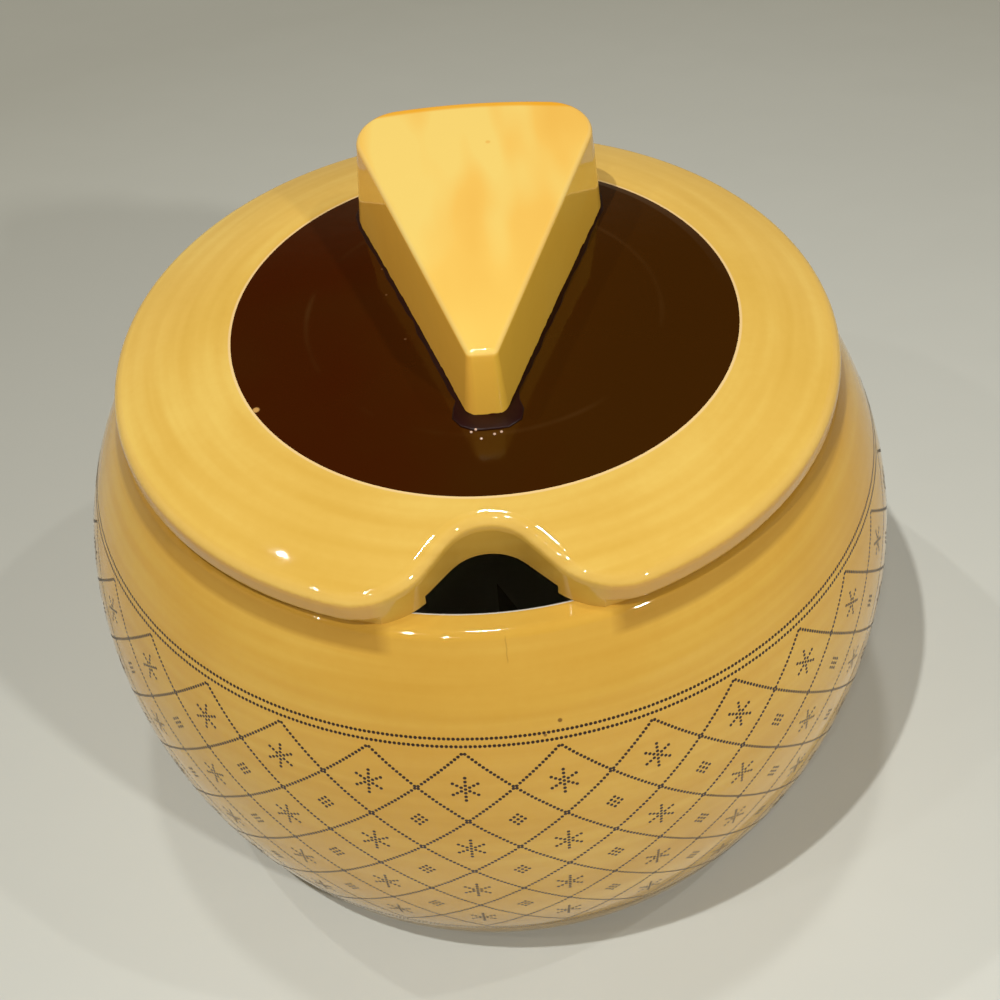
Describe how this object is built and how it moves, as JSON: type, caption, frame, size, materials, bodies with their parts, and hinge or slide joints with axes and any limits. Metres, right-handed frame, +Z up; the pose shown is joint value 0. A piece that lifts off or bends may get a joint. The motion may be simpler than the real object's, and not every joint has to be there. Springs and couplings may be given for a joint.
{
  "type": "grated cheese jar with notched lid",
  "caption": "Squat round glazed pot with a foot ring, a lift-off lid with a spoon notch in its edge, a dark glaze field and a knob shaped like a wedge of cheese.",
  "frame": {"origin": "middle of the foot, on the table", "axes": "+Z up, the way the lid lifts; the spoon notch and the tip of the wedge point to -Y; +X to the right of someone who faces the notch"},
  "size_m": [0.12, 0.12, 0.0923],
  "materials": {
    "yellow_glaze_pot": "gloss",
    "yellow_glaze_lid": "gloss",
    "yellow_glaze_knob": "gloss",
    "brown_glaze": "gloss"
  },
  "bodies": {
    "jar": {"jar_body": "yellow_glaze_pot"},
    "lid": {"lid": "yellow_glaze_lid", "wedge_knob": "yellow_glaze_knob", "glaze_field": "brown_glaze"}
  },
  "joints": [
    {"name": "lid_lift", "type": "slide", "parent": "jar", "child": "lid", "axis": [0, 0, 1], "range_m": [0, 0.08]}
  ]
}
